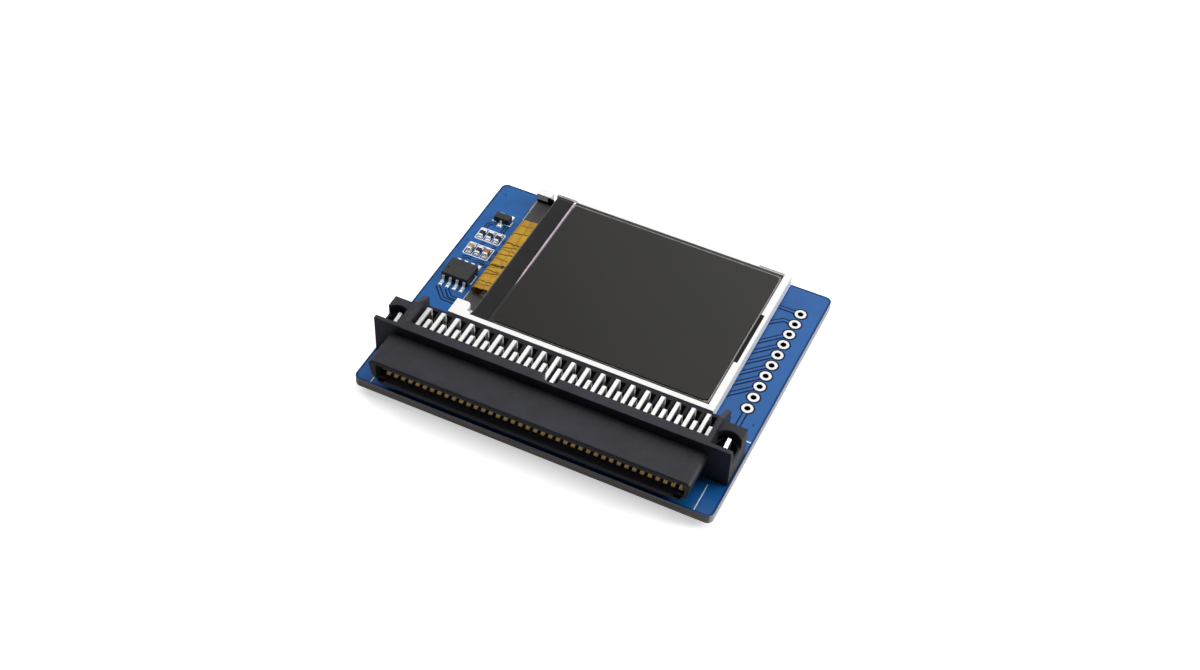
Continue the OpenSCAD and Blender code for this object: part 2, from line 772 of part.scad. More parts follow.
module lower_contacts_long() {
    color("#d9b15c")
    for (x = row_x_long) contact(x, run_lower, -1, tail_y(1));
}

module lower_contacts_short() {
    color("#d9b15c")
    for (x = row_x_short) contact(x, run_lower, -1, tail_y(0));
}

// Bent metal clip that holds the housing's ear to the board
module board_lock(side) {
    half = lock_t / 2;
    back = lock_leg_y + half;
    front = lock_leg_y - lock_reach;
    top = ear_h + lock_rise;
    low = top - lock_fall;
    color("#e3e5e6")
    slice_x(side * lock_x, lock_w)
        polygon([[back - lock_t, -board_t - lock_stick], [back, -board_t - lock_stick],
            [back, top], [front, low], [front, low - lock_lip], [front + lock_t, low - lock_lip],
            [front + lock_t, low - lock_t], [back - lock_t, top - lock_t]]);
}

module board_lock_left() {
    board_lock(-1);
}

module board_lock_right() {
    board_lock(1);
}

// Cone of solder round one leg, below the board
module solder_cone(x, y, w, t) {
    difference() {
        translate([x, y, tail_stick - solder_h])
            cylinder(d1 = solder_tip_d, d2 = solder_d, h = solder_h);
        block([x - w / 2, y - t / 2, -past], [x + w / 2, y + t / 2, tail_stick + past]);
    }
}

module solder_joints() {
    color("#c9ccce") {
        for (row = [0, 2], x = row_x_short) solder_cone(x, tail_y(row), contact_w, contact_t);
        for (row = [1, 3], x = row_x_long) solder_cone(x, tail_y(row), contact_w, contact_t);
        for (side = [-1, 1])
            difference() {
                translate([side * lock_x, lock_leg_y, tail_stick - solder_h])
                    cylinder(d1 = lock_hole_d, d2 = lock_hole_d + lock_solder, h = solder_h);
                block([side * lock_x - lock_w / 2, lock_leg_y - lock_t / 2, -past],
                    [side * lock_x + lock_w / 2, lock_leg_y + lock_t / 2, tail_stick + past]);
            }
    }
}

// ---------------------------------------------------------------- display

module adhesive_pad() {
    color("#cfd0cc")
    on_board([flex_end_x + pad_margin / 2, display_front + pad_margin, 0],
        [display_right - pad_margin, display_back - pad_margin, pad_t]);
}

// Outline of the recess in the frame's left side, with its neck beside the front wing
module recess_outline() {
    round_r = recess_neck;
    translate([display_left - past, recess_front])
        square([recess_right - display_left + past, recess_back - recess_front]);
    translate([recess_right - recess_neck, recess_front - recess_neck_l])
        square([recess_neck, display_back + past - recess_front + recess_neck_l]);
    difference() {
        translate([recess_right - recess_neck - round_r, recess_front - round_r]) square(round_r + eps);
        translate([recess_right - recess_neck - round_r, recess_front - round_r]) circle(round_r);
    }
}

module display_frame() {
    color("#f2f3f2")
    difference() {
        on_board([display_left, display_front, pad_t], [display_right, display_back, frame_top]);
        // seat of the two glasses, and well of the backlight
        on_board([recess_right, glass_front - film_clear, lower_glass_bottom],
            [glass_right + film_clear, glass_back + film_clear, frame_top + past]);
        on_board([well_left, well_front, pad_t - past], [well_right, well_back, frame_top + past]);
        // recess beside the glass, down to the frame's floor
        translate([0, 0, board_top + recess_floor])
            linear_extrude(frame_top) recess_outline();
        // way through the floor for the folded tail
        on_board([display_left - past, flex_y0 - flex_room, pad_t - past],
            [flex_cut_x, flex_y1 + flex_room, frame_top + past]);
        // slim slot in the right rim
        on_board([display_right - rim_slot_out - rim_slot_w, display_front + rim_slot_front,
                frame_top - rim_slot_deep],
            [display_right - rim_slot_out, display_front + rim_slot_front + rim_slot_l,
                frame_top + past]);
    }
}

// A sheet of the backlight beside the lamps, seated in the frame's well
module film(z, t) {
    on_board([well_left + lamp_w + lamp_gap, well_front + film_clear, z],
        [well_right - film_clear, well_back - film_clear, z + t]);
}

module reflector_sheet() {
    color("#eceeee")
    on_board([well_left + film_clear, well_front + film_clear, pad_t],
        [well_right - film_clear, well_back - film_clear, pad_t + film_t]);
}

module light_guide() {
    color("#dfeaf0")
    film(guide_z, light_guide_t);
}

module diffuser_film() {
    color("#f4f4f0")
    film(diffuser_z, film_t);
}

module prism_film_lower() {
    color("#e6eef2")
    film(prism_a_z, film_t);
}

module prism_film_upper() {
    color("#e6eef2")
    film(prism_b_z, film_t);
}

module lamp_strip() {
    color("#c98a2e")
    on_board([well_left + film_clear, well_front + lamp_end, guide_z],
        [well_left + film_clear + lamp_w, well_back - lamp_end, guide_z + film_t]);
}

module backlight_lamps() {
    span = well_back - well_front;
    color("#f1e9a8")
    for (k = [0:lamp_count - 1])
        translate([0, well_front + span * (k + 0.5) / lamp_count - lamp_l / 2, 0])
            on_board([well_left + film_clear, 0, guide_z + film_t],
                [well_left + film_clear + lamp_w, lamp_l, diffuser_z]);
}

module rear_polarizer() {
    color("#6f7276")
    on_board([well_left + film_clear, well_front + film_clear, rear_polarizer_z],
        [well_right - film_clear, well_back - film_clear, lower_glass_bottom]);
}

module lower_glass() {
    color("#7d8488")
    on_board([glass_left, glass_front, lower_glass_bottom], [glass_right, glass_back, lower_glass_top]);
}

module upper_glass() {
    color("#8b9296")
    on_board([upper_glass_left, glass_front, lower_glass_top], [glass_right, glass_back, glass_top]);
}

module front_polarizer() {
    color("#3d3c3a")
    translate([0, 0, board_top + glass_top])
    linear_extrude(polarizer_t)
    round_rect([upper_glass_left + polarizer_margin_left, glass_front + polarizer_margin],
        [glass_right - polarizer_margin, glass_back - polarizer_margin_back], polarizer_r);
}

module driver_chip() {
    chip_x0 = glass_left + flex_bond + driver_gap;
    color("#17181a")
    on_board([chip_x0, flex_y0 + driver_end, lower_glass_top],
        [chip_x0 + driver_w, flex_y1 - driver_end, lower_glass_top + driver_h]);
}

module light_shield_tape() {
    z = lower_glass_top + driver_h;
    color("#333234") {
        // strip over the glass ledge, the driver chip and the bonded edge of the tail
        on_board([glass_left + tape_edge, glass_front + tape_edge, z],
            [upper_glass_left - tape_edge, glass_back - tape_edge, z + tape_t]);
        on_board([glass_left - tape_over, flex_y0 + tape_edge, z],
            [glass_left + tape_edge + eps, flex_y1 - tape_edge, z + tape_t]);
        // lining of the recess, in front of the tail and behind it
        on_board([display_left + tape_edge, recess_front + tape_edge, recess_floor],
            [recess_right - tape_edge, flex_y0 - flex_room, recess_floor + tape_t]);
        on_board([recess_right - recess_neck + tape_edge, recess_front - recess_neck_l + tape_edge,
                recess_floor],
            [recess_right - tape_edge, recess_front + tape_edge + eps, recess_floor + tape_t]);
        on_board([display_left + tape_edge, flex_y1 + flex_room, recess_floor],
            [recess_right - tape_edge, recess_back - tape_edge, recess_floor + tape_t]);
    }
}

module flexible_tail() {
    // outer fold: half a ring about the fold's axis, between the ledge and the wide flat end
    fold_z = flex_top - flex_fold_r;
    wide_x = display_left - flex_wide_out;
    color("#c89a3c") {
        translate([0, flex_y1, board_top])
        rotate([90, 0, 0])
        linear_extrude(flex_len) {
            translate([flex_fold_x, flex_top - flex_t])
                square([glass_left + flex_bond - flex_fold_x, flex_t]);
            translate([flex_fold_x, fold_z])
                difference() {
                    circle(flex_fold_r);
                    circle(flex_fold_r - flex_t);
                    translate([0, -2 * flex_fold_r]) square(4 * flex_fold_r);
                }
            translate([flex_fold_x, flex_bottom]) square([flex_under, flex_t]);
        }
        on_board([wide_x, flex_y1 + flex_step, flex_bottom],
            [flex_fold_x + flex_wide_w, flex_y1 + flex_widen, flex_bottom + flex_t]);
        on_board([flex_fold_x, flex_y1 - eps, flex_bottom],
            [flex_fold_x + flex_wide_w, flex_y1 + flex_step + eps, flex_bottom + flex_t]);
    }
}

// ---------------------------------------------------------------- small parts

// One gull-wing lead in Y and Z, from the body at y0 out to y1
module gull_lead(x, y0, y1, z) {
    out = sign(y1 - y0);
    knee = y1 - out * foot_l;
    slice_x(x, lead_w)
        polygon([[y0, z + lead_t], [knee - out * lead_t, z + lead_t], [knee, plating_t + lead_t],
            [y1, plating_t + lead_t], [y1, plating_t], [knee - out * lead_t, plating_t],
            [knee - out * 2 * lead_t, z], [y0, z]]);
}

// Moulded body with drafted sides: two stacked slices, the lower and the upper half
module moulded_body(x, y, l, w, z0, h) {
    translate([x, y, board_top + z0])
        rotate([90, 0, 0])
            linear_extrude(w, center = true)
                polygon([[-l / 2 + draft, 0], [l / 2 - draft, 0], [l / 2, h / 2],
                    [l / 2 - draft, h], [-l / 2 + draft, h], [-l / 2, h / 2]]);
}

module memory_chip_body() {
    color("#2a2a2c")
    difference() {
        moulded_body(chip_x, chip_y, chip_l, chip_w, chip_standoff, chip_h);
        // round mark beside the first lead
        translate([chip_x - chip_l / 2 + chip_mark_x, chip_y - chip_w / 2 + chip_mark_y,
                board_top + chip_standoff + chip_h - chip_mark_deep])
            cylinder(r = chip_mark_r, h = past);
    }
}

module memory_chip_leads() {
    color("#d5d7d9")
    for (k = [-1.5:1:1.5], side = [-1, 1])
        gull_lead(chip_x + k * lead_pitch, chip_y + side * chip_w / 2, chip_y + side * chip_span / 2,
            chip_lead_z);
}

module transistor_body() {
    color("#2a2a2c")
    moulded_body(transistor_x, transistor_y, transistor_l, transistor_w, transistor_standoff,
        transistor_h);
}

module transistor_leads() {
    color("#d5d7d9") {
        for (k = [-1, 1])
            gull_lead_short(transistor_x + k * transistor_lead_x, transistor_y + transistor_w / 2,
                transistor_y + transistor_span / 2);
        gull_lead_short(transistor_x, transistor_y - transistor_w / 2, transistor_y - transistor_span / 2);
    }
}

// Short gull-wing lead of the three-lead package
module gull_lead_short(x, y0, y1) {
    out = sign(y1 - y0);
    t = transistor_lead_t;
    z = transistor_lead_z;
    knee = y0 + out * transistor_knee;
    turn = out * transistor_drop;
    slice_x(x, lead_w)
        polygon([[y0, z + t], [knee, z + t], [knee + turn, plating_t + t],
            [y1, plating_t + t], [y1, plating_t], [knee + turn - out * t, plating_t],
            [knee - out * t, z], [y0, z]]);
}

// Middle of a chip part, between its end terminals
module part_body(x, y, h) {
    on_board([x - part_w / 2, y - part_l / 2 + terminal_l, plating_t],
        [x + part_w / 2, y + part_l / 2 - terminal_l, plating_t + h]);
}

// The two end terminals of a chip part
module part_ends(x, y, h) {
    for (y0 = [y - part_l / 2, y + part_l / 2 - terminal_l])
        on_board([x - part_w / 2, y0, plating_t], [x + part_w / 2, y0 + terminal_l, plating_t + h]);
}

module resistor_bodies() {
    color("#3a3b3e") {
        for (x = row_x) part_body(x, row_a_y, resistor_h);
        part_body(row_x[1], row_b_y, resistor_h);
    }
}

module resistor_terminals() {
    color("#d5d7d9") {
        for (x = row_x) part_ends(x, row_a_y, resistor_h);
        part_ends(row_x[1], row_b_y, resistor_h);
    }
}

module capacitor_tan() {
    color("#b8a06a")
    part_body(row_x[0], row_b_y, capacitor_h);
}

module capacitor_orange() {
    color("#b0643a")
    part_body(row_x[2], row_b_y, capacitor_h);
}

module capacitor_terminals() {
    color("#d5d7d9")
    for (k = [0, 2]) part_ends(row_x[k], row_b_y, capacitor_h);
}

circuit_board();
header_plating();
surface_pads();
connector_housing();
tail_guide();
upper_contacts_long();
upper_contacts_short();
lower_contacts_long();
lower_contacts_short();
board_lock_left();
board_lock_right();
solder_joints();
adhesive_pad();
display_frame();
reflector_sheet();
light_guide();
diffuser_film();
prism_film_lower();
prism_film_upper();
lamp_strip();
backlight_lamps();
rear_polarizer();
lower_glass();
upper_glass();
front_polarizer();
driver_chip();
light_shield_tape();
flexible_tail();
memory_chip_body();
memory_chip_leads();
transistor_body();
transistor_leads();
resistor_bodies();
resistor_terminals();
capacitor_tan();
capacitor_orange();
capacitor_terminals();
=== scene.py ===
import json
import math

import bpy
import numpy as np
from mathutils import Matrix, Vector


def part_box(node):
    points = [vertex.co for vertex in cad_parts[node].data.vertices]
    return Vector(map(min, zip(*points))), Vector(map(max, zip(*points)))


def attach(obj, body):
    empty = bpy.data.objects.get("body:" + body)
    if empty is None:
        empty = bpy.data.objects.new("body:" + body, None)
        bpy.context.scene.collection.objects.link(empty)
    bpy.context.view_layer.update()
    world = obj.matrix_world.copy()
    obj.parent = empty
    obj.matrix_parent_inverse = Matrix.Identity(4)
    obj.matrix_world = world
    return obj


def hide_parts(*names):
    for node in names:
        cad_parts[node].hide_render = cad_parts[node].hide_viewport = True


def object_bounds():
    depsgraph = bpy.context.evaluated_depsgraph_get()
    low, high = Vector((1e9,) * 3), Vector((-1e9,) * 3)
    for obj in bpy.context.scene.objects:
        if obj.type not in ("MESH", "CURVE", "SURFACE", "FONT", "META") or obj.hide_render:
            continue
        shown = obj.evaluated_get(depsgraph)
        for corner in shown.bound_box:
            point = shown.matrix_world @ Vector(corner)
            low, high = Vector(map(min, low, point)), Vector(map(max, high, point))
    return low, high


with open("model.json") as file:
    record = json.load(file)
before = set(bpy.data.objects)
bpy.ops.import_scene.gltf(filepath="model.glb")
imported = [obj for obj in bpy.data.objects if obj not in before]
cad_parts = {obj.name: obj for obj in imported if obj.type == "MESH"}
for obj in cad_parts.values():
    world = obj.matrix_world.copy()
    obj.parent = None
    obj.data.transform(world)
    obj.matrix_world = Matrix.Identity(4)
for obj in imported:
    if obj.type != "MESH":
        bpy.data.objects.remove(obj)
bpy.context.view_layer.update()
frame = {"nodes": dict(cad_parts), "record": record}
nodes = frame["nodes"]
MM = 0.001

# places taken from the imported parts
board_low, board_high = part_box("circuit_board")
board_mid = (board_low + board_high) / 2
TOP = board_high.z
ring_low, ring_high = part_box("header_plating")
frame_low, frame_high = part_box("display_frame")
upper_low, upper_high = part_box("upper_glass")
lower_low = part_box("lower_glass")[0]
film_low, film_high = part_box("front_polarizer")
flex_low, flex_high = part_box("flexible_tail")
chip_low, chip_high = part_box("memory_chip_body")
chip_leads_low, chip_leads_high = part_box("memory_chip_leads")
transistor_low, transistor_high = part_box("transistor_leads")
tape_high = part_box("light_shield_tape")[1]


def on_board(x, y, z=0.0):
    """A point in millimetres from the middle of the board and from its top face."""
    return (board_mid.x + x * MM, board_mid.y + y * MM, TOP + z * MM)


def board_x(value):
    """Millimetres to the right of the board's middle."""
    return (value - board_mid.x) / MM


def board_y(value):
    """Millimetres behind the board's middle."""
    return (value - board_mid.y) / MM


def board_z(value):
    """Millimetres above the board's top face."""
    return (value - TOP) / MM


# ---------------------------------------------------------------- materials
GEOMETRY = "ShaderNodeNewGeometry"


class Paint:
    """A principled material and the nodes that vary it."""

    def __init__(self, name, colour, rough=0.5, metal=0.0, ior=1.5, spec=0.5):
        self.m = bpy.data.materials.new(name)
        self.m.use_nodes = True
        self.t = self.m.node_tree
        self.b = self.t.nodes["Principled BSDF"]
        self.set("Base Color", (*colour, 1.0))
        self.set("Roughness", rough)
        self.set("Metallic", metal)
        self.set("IOR", ior)
        self.set("Specular IOR Level", spec)
        self.colour = colour
        self.rough = rough

    def set(self, socket, value):
        self.b.inputs[socket].default_value = value

    def node(self, kind, **values):
        n = self.t.nodes.new(kind)
        for k, v in values.items():
            setattr(n, k, v)
        return n

    def link(self, a, b):
        self.t.links.new(a, b)

    def noise(self, scale, stretch=(1, 1, 1), detail=4.0, rough=0.55):
        place = self.node("ShaderNodeTexCoord")
        turn = self.node("ShaderNodeMapping")
        turn.inputs["Scale"].default_value = stretch
        n = self.node("ShaderNodeTexNoise")
        n.inputs["Scale"].default_value = scale
        n.inputs["Detail"].default_value = detail
        n.inputs["Roughness"].default_value = rough
        self.link(place.outputs["Object"], turn.inputs["Vector"])
        self.link(turn.outputs["Vector"], n.inputs["Vector"])
        return n.outputs["Fac"]

    def spread(self, source, low, high, lo=0.3, hi=0.7):
        r = self.node("ShaderNodeMapRange")
        r.inputs["From Min"].default_value = lo
        r.inputs["From Max"].default_value = hi
        r.inputs["To Min"].default_value = low
        r.inputs["To Max"].default_value = high
        self.link(source, r.inputs["Value"])
        return r.outputs["Result"]

    def part(self, kind, output, axis):
        """One axis of the shading point's Normal or Position."""
        source = self.node(kind)
        split = self.node("ShaderNodeSeparateXYZ")
        self.link(source.outputs[output], split.inputs[0])
        return split.outputs[axis]

    def above(self, value, limit):
        """1 where the value is over the limit, else 0."""
        step = self.node("ShaderNodeMath", operation="GREATER_THAN")
        step.inputs[1].default_value = limit
        self.link(value, step.inputs[0])
        return step.outputs[0]

    def level_face(self):
        """1 on faces that look up or down, 0 on upright ones."""
        flat = self.node("ShaderNodeMath", operation="ABSOLUTE")
        self.link(self.part(GEOMETRY, "Normal", "Z"), flat.inputs[0])
        return self.above(flat.outputs[0], 0.5)

    def mix(self, factor, a, b):
        """A blend of two colours, each a value or a socket."""
        n = self.node("ShaderNodeMix", data_type="RGBA")
        for socket, value in ((n.inputs[6], a), (n.inputs[7], b)):
            if hasattr(value, "default_value"):
                self.link(value, socket)
            else:
                socket.default_value = (*value, 1.0)
        if hasattr(factor, "default_value"):
            self.link(factor, n.inputs[0])
        else:
            n.inputs[0].default_value = factor
        return n.outputs[2]

    def mottle(self, scale=400, amount=0.08, stretch=(1, 1, 1)):
        """Slightly darker and lighter patches of the base colour."""
        f = self.spread(self.noise(scale, stretch), 0, 1)
        dark = tuple(c * (1 - amount) for c in self.colour)
        light = tuple(min(1.0, c * (1 + amount)) for c in self.colour)
        out = self.mix(f, dark, light)
        self.link(out, self.b.inputs["Base Color"])
        return self

    def vary_rough(self, scale=700, amount=0.08, stretch=(1, 1, 1)):
        f = self.spread(self.noise(scale, stretch), self.rough - amount, self.rough + amount)
        self.link(f, self.b.inputs["Roughness"])
        return self

    def grain(self, scale=2500, strength=0.1, depth=0.00001, stretch=(1, 1, 1), edge=0.0):
        bump = self.node("ShaderNodeBump")
        bump.inputs["Strength"].default_value = strength
        bump.inputs["Distance"].default_value = depth
        self.link(self.noise(scale, stretch), bump.inputs["Height"])
        if edge:
            bevel = self.node("ShaderNodeBevel", samples=4)
            bevel.inputs["Radius"].default_value = edge
            self.link(bevel.outputs["Normal"], bump.inputs["Normal"])
        self.link(bump.outputs["Normal"], self.b.inputs["Normal"])
        return self


def plain(name, colour, rough, metal=0.0, spec=0.5, mottle=0.06, scale=500, grain=0.08,
          grain_scale=2500, edge=0.0, stretch=(1, 1, 1), ior=1.5, vary=0.08):
    p = Paint(name, colour, rough, metal, ior, spec)
    p.mottle(scale, mottle, stretch).vary_rough(scale * 1.7, min(vary, rough * 0.4), stretch)
    p.grain(grain_scale, grain, edge=edge, stretch=stretch)
    return p


MASK = (0.004, 0.098, 0.335)
MASK_DARK = (0.0004, 0.006, 0.034)
LEDGE_OVER_BOARD = 1.3  # height in mm that parts the tape on the ledge from the tape below


def board_paint():
    """Blue mask on the faces, bare glass fibre on the cut edges."""
    p = Paint("solder_mask_board", MASK, 0.27, spec=0.5)
    mask = p.mix(p.spread(p.noise(260, detail=5), 0, 1), tuple(c * 0.93 for c in MASK),
                 tuple(c * 1.07 for c in MASK))
    # cut edges: grey-brown glass fibre in thin layers; the right edge is painted paler, as painted
    # light from the right
    layers = p.spread(p.noise(900, (0.12, 0.12, 6.0), 3), 0, 1)
    fibre = p.mix(layers, (0.15, 0.135, 0.125), (0.33, 0.30, 0.28))
    lit_fibre = p.mix(layers, (0.46, 0.45, 0.44), (0.60, 0.59, 0.58))
    right_side = p.above(p.part(GEOMETRY, "Normal", "X"), 0.6)
    level = p.level_face()
    p.link(p.mix(level, p.mix(right_side, fibre, lit_fibre), mask), p.b.inputs["Base Color"])
    p.link(p.spread(level, 0.65, 0.27, 0, 1), p.b.inputs["Roughness"])
    p.grain(420, 0.05)
    return p


def amber_paint():
    """Amber film with painted shade: dark brown along its creases."""
    p = Paint("amber_film", (0.45, 0.25, 0.019), 0.30, spec=0.35)
    # painted shade: a per-point attribute darkens the film along the creases
    crease_shade = p.node("ShaderNodeAttribute", attribute_name="crease_shade")
    patch = p.mix(p.spread(p.noise(350), 0, 1), tuple(c * 0.8 for c in p.colour),
                  tuple(min(1, c * 1.18) for c in p.colour))
    p.link(p.mix(crease_shade.outputs["Fac"], patch, (0.075, 0.038, 0.005)), p.b.inputs["Base Color"])
    p.vary_rough(600, 0.08)
    p.grain(900, 0.12)
    return p


def tape_paint():
    """Black on the glass ledge, dark grey where it lines the frame's floor."""
    p = Paint("black_tape", (0.004, 0.0037, 0.0038), 0.42, spec=0.2)
    high = p.above(p.part(GEOMETRY, "Position", "Z"), TOP + LEDGE_OVER_BOARD * MM)
    patch = p.spread(p.noise(250, detail=5), 0, 1)
    floor_part = p.mix(patch, (0.052, 0.050, 0.053), (0.078, 0.075, 0.080))
    ledge_part = p.mix(patch, (0.010, 0.0095, 0.0100), (0.016, 0.015, 0.016))
    p.link(p.mix(high, floor_part, ledge_part), p.b.inputs["Base Color"])
    p.vary_rough(430, 0.06)
    p.grain(1500, 0.1)
    return p


def plating_paint():
    """Bright rings, with the walls inside the holes painted near black as painted shade."""
    p = Paint("plating", (0.93, 0.93, 0.92), 0.34, 0.4)
    ring = p.mix(p.spread(p.noise(900), 0, 1), (0.84, 0.84, 0.83), (0.98, 0.98, 0.97))
    # painted shade: the upright walls inside the holes are near black
    shaded_wall = p.mix(p.spread(p.noise(1500), 0, 1), (0.012, 0.012, 0.012), (0.05, 0.05, 0.05))
    p.link(p.mix(p.level_face(), shaded_wall, ring), p.b.inputs["Base Color"])
    p.vary_rough(1500, 0.06)
    p.grain(2500, 0.08)
    return p


paints = {
    "pcb": board_paint(),
    "tin": plain("tin", (0.93, 0.93, 0.92), 0.36, 0.35, mottle=0.06, scale=900),
    "bright_metal": plain("bright_metal", (0.93, 0.93, 0.93), 0.28, 0.5, scale=900),
    "solder": plain("solder", (0.86, 0.86, 0.86), 0.3, 0.6, mottle=0.1, scale=1200),
    "gold": plain("gold", (1.0, 0.80, 0.42), 0.4, 0.15, scale=900),
    "black_plastic": plain("black_plastic", (0.025, 0.0255, 0.034), 0.42, spec=0.25,
                           mottle=0.2, vary=0.03, scale=300, grain=0.16, grain_scale=3200,
                           edge=0.00016),
    "guide_plastic": plain("guide_plastic", (0.010, 0.010, 0.013), 0.45, spec=0.2, mottle=0.2,
                           scale=300, grain=0.16, grain_scale=3200, edge=0.0001),
    "foam_tape": plain("foam_tape", (0.62, 0.62, 0.60), 0.8, mottle=0.1),
    "white_plastic": plain("white_plastic", (0.90, 0.90, 0.89), 0.32, mottle=0.02,
                           scale=200, edge=0.00008),
    "white_film": plain("white_film", (0.88, 0.88, 0.87), 0.4, mottle=0.02),
    "clear_plastic": plain("clear_plastic", (0.75, 0.78, 0.80), 0.15, mottle=0.03),
    "clear_film": plain("clear_film", (0.62, 0.65, 0.67), 0.2, mottle=0.05, stretch=(1, 20, 1)),
    "amber_film": amber_paint(),
    "lamp_resin": plain("lamp_resin", (0.80, 0.72, 0.30), 0.3),
    "grey_film": plain("grey_film", (0.035, 0.036, 0.038), 0.25),
    "glass_dark": plain("glass_dark", (0.010, 0.0095, 0.0095), 0.06, mottle=0.1, grain=0.01,
                        edge=0.00005, ior=1.52),
    "glass_clear": plain("glass_clear", (0.022, 0.020, 0.020), 0.06, mottle=0.1, grain=0.01,
                         edge=0.00005, ior=1.52),
    "polarizer": plain("polarizer", (0.0085, 0.0072, 0.0060), 0.16, mottle=0.1, scale=120,
                       vary=0.01, grain=0.03, grain_scale=5200),
    "silicon": plain("silicon", (0.012, 0.012, 0.014), 0.2),
    "black_tape": tape_paint(),
    "chip_resin": plain("chip_resin", (0.020, 0.020, 0.021), 0.5, spec=0.4, mottle=0.2, scale=900,
                        grain=0.25, grain_scale=5000, edge=0.00006),
    "resistor_glaze": plain("resistor_glaze", (0.012, 0.012, 0.014), 0.3, mottle=0.2,
                            edge=0.00004),
    "tan_ceramic": plain("tan_ceramic", (0.40, 0.28, 0.10), 0.5, mottle=0.12, scale=900),
    "orange_ceramic": plain("orange_ceramic", (0.36, 0.115, 0.045), 0.5, mottle=0.12, scale=900),
}


# a little glow lifts the contact tips out of the shade of the slot
paints["gold"].set("Emission Color", (1.0, 0.62, 0.22, 1.0))
paints["gold"].set("Emission Strength", 0.10)

for item in frame["record"]["subparts"]:
    slots = nodes[item["node"]].data.materials
    slots.clear()
    slots.append(paints[item["material_slot"]].m)
nodes["header_plating"].data.materials[0] = plating_paint().m

# paints of details that only this script makes
extra = {
    "ink": plain("silkscreen_ink", (0.86, 0.87, 0.88), 0.6, mottle=0.06, scale=1500),
    "gap": plain("bare_gap", MASK_DARK, 0.5, spec=0.2, mottle=0.1),
    "track": plain("mask_over_copper", tuple(c * 1.12 for c in MASK), 0.25, mottle=0.05),
    # painted highlight on the glass margin
    "glint": plain("glass_margin_highlight", (0.56, 0.44, 0.55), 0.35, mottle=0.3, scale=260),
    # painted highlight lines round the polarizer
    "edge_line": plain("glass_edge_highlight", (0.27, 0.255, 0.245), 0.35, mottle=0.35, scale=420),
    "beige_line": plain("frame_rim_edge", (0.34, 0.33, 0.30), 0.5, mottle=0.4, scale=500),
    # painted highlight along the tape's edge
    "tape_edge": plain("tape_edge_painted_highlight", (0.11, 0.11, 0.11), 0.4, mottle=0.3, scale=300),
    # near-black paint for painted shade
    "painted_shade": plain("dark_painted_shade", (0.003, 0.003, 0.003), 0.6, spec=0.2, mottle=0.1),
}


# ---------------------------------------------------------------- mesh helpers
def piece(name, build, paint, smooth=False):
    """A visible piece on the rigid body, from a finished Build."""
    mesh = bpy.data.meshes.new(name)
    mesh.from_pydata(build.v, [], build.f)
    mesh.validate()
    mesh.update()
    obj = bpy.data.objects.new(name, mesh)
    bpy.context.scene.collection.objects.link(obj)
    mesh.materials.append(paint.m)
    if smooth:
        for poly in mesh.polygons:
            poly.use_smooth = True
    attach(obj, "root")
    return obj


class Build:
    """Collects verts and faces of one mesh, in millimetres from the board's top middle."""

    def __init__(self):
        self.v, self.f = [], []

    def prism(self, loop, z0, z1):
        """A closed slab on a plan outline."""
        n, k = len(loop), len(self.v)
        self.v += [on_board(x, y, z0) for x, y in loop] + [on_board(x, y, z1) for x, y in loop]
        self.f.append(tuple(k + n + i for i in range(n)))
        self.f.append(tuple(k + i for i in reversed(range(n))))
        for i in range(n):
            j = (i + 1) % n
            self.f.append((k + i, k + j, k + n + j, k + n + i))

    def ribbon(self, path, width, z0, z1, closed=False):
        """A flat strip of even width along a plan path."""
        p = [np.array(q, float) for q in path]
        n, k = len(p), len(self.v)
        sides = []
        for i in range(n):
            a = p[i - 1] if (i or closed) else None
            b = p[(i + 1) % n] if (i < n - 1 or closed) else None
            d1 = (p[i] - a) / np.linalg.norm(p[i] - a) if a is not None else None
            d2 = (b - p[i]) / np.linalg.norm(b - p[i]) if b is not None else None
            d1 = d2 if d1 is None else d1
            d2 = d1 if d2 is None else d2
            n1, n2 = np.array([-d1[1], d1[0]]), np.array([-d2[1], d2[0]])
            m = n1 + n2
            m = m / np.linalg.norm(m)
            m = m * (width / 2) / max(0.35, float(m @ n1))
            sides.append((p[i] + m, p[i] - m))
        for left, right in sides:
            for q in (left, right):
                self.v += [on_board(q[0], q[1], z0), on_board(q[0], q[1], z1)]
        last = n if closed else n - 1
        for i in range(last):
            a, b = k + 4 * i, k + 4 * ((i + 1) % n)
            self.f += [(a + 1, a + 3, b + 3, b + 1), (a, b, b + 2, a + 2),
                       (a, a + 1, b + 1, b), (a + 2, b + 2, b + 3, a + 3)]
        if not closed:
            self.f.append((k, k + 2, k + 3, k + 1))
            e = k + 4 * (n - 1)
            self.f.append((e, e + 1, e + 3, e + 2))

    def box(self, low, high):
        """A block between two corners."""
        x0, y0, z0 = low
        x1, y1, z1 = high
        self.prism([(x0, y0), (x1, y0), (x1, y1), (x0, y1)], z0, z1)


def rounded(x0, y0, x1, y1, r, steps=5):
    """A rectangle's outline with round corners."""
    loop = []
    for cx, cy, a0 in ((x1 - r, y1 - r, 0), (x0 + r, y1 - r, 90), (x0 + r, y0 + r, 180),
                       (x1 - r, y0 + r, 270)):
        for i in range(steps + 1):
            a = math.radians(a0 + 90 * i / steps)
            loop.append((cx + r * math.cos(a), cy + r * math.sin(a)))
    return loop


def circle(x, y, r, n=24):
    """A circle's outline."""
    return [(x + r * math.cos(2 * math.pi * i / n), y + r * math.sin(2 * math.pi * i / n))
            for i in range(n)]


# ---------------------------------------------------------------- board artwork
half_x = (board_high.x - board_low.x) / 2 / MM
half_y = (board_high.y - board_low.y) / 2 / MM
sunk = -0.005  # every printed detail starts this far inside the board
gap_w = 0.25
gap_top = 0.012
track_top = 0.03
via_top = 0.016

tracks, gaps, ink, vias = Build(), Build(), Build(), Build()


def track(path, width):
    """A raised track with the bare gap in the copper down each side."""
    tracks.ribbon(path, width, sunk, track_top)
    gaps.ribbon(path, width + 2 * gap_w, sunk, gap_top)


